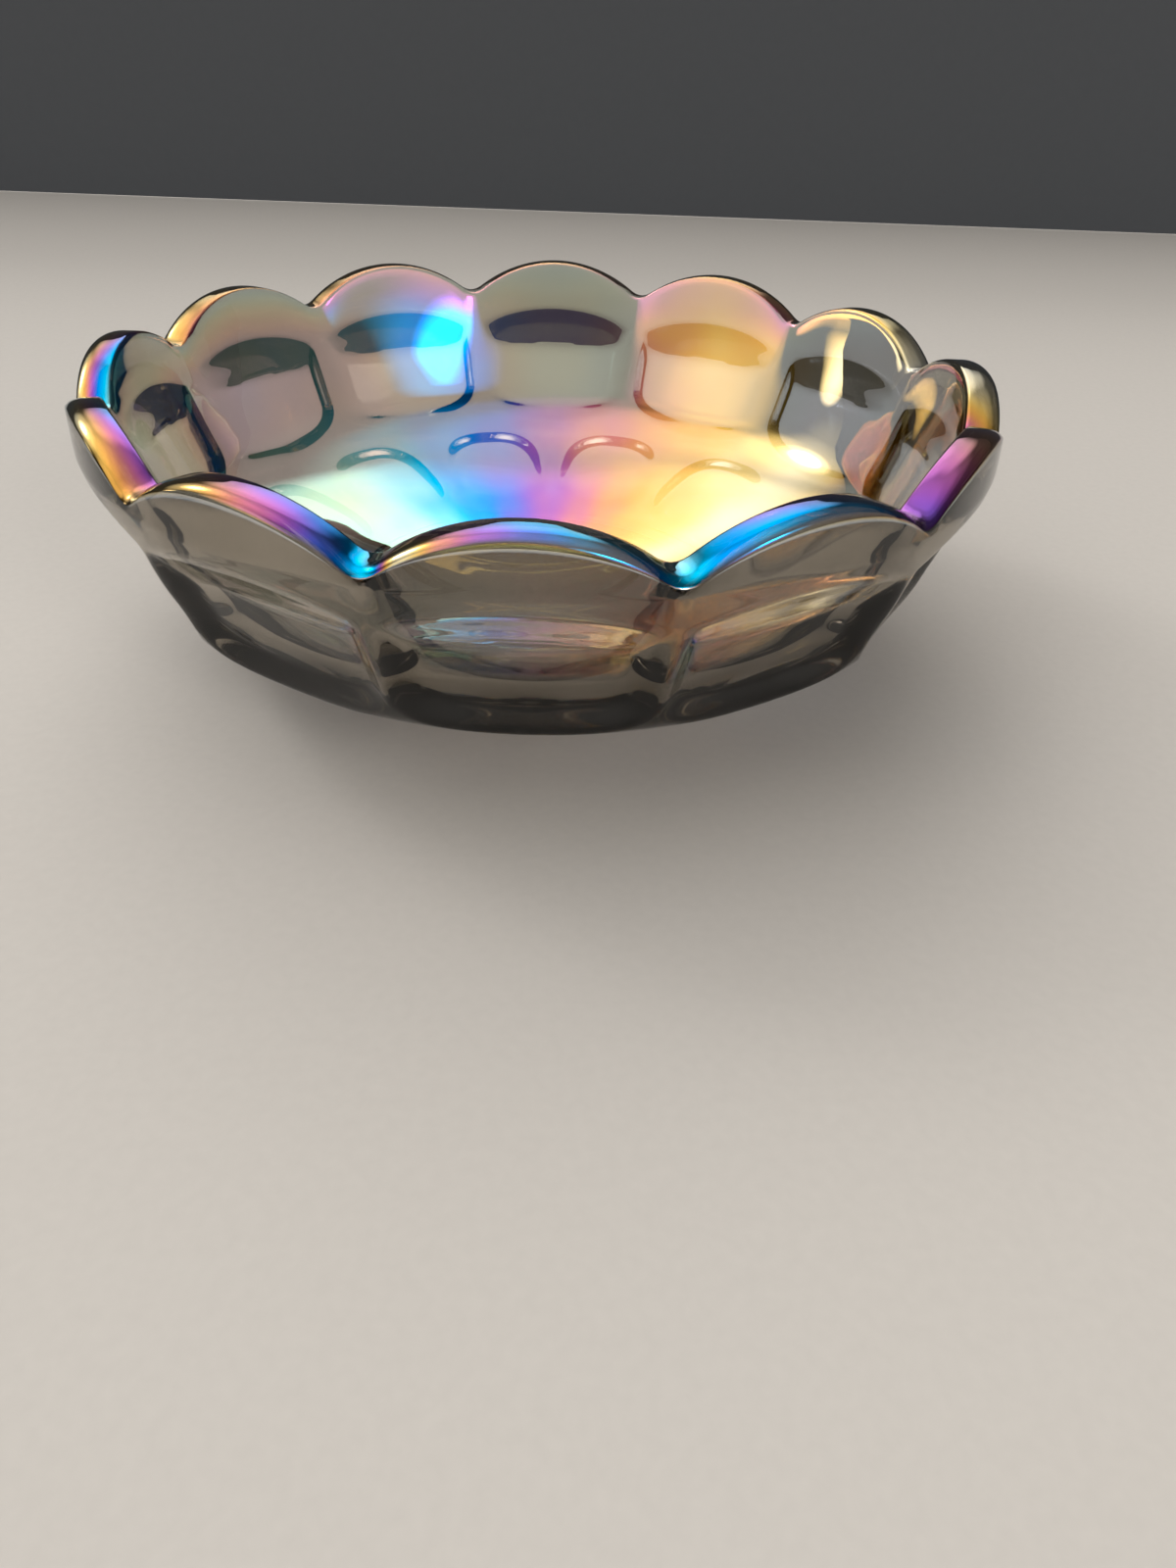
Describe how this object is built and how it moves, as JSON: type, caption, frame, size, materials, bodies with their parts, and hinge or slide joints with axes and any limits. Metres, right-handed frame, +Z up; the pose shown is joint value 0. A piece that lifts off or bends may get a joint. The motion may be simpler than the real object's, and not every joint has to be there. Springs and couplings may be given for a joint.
{
  "type": "carnival glass bowl",
  "caption": "Shallow round pressed-glass bowl with a scalloped rim, thumbprints on the outside and an iridescent skin.",
  "frame": {"origin": "bottom centre of the foot", "axes": "+Z up along the bowl's axis; a scallop's middle points along +X and along +Y"},
  "size_m": [0.142, 0.142, 0.0447],
  "materials": {
    "smoke_glass": "smoke grey glass with an iridescent fired skin, polished"
  },
  "bodies": {
    "root": {"bowl": "smoke_glass"}
  },
  "joints": []
}
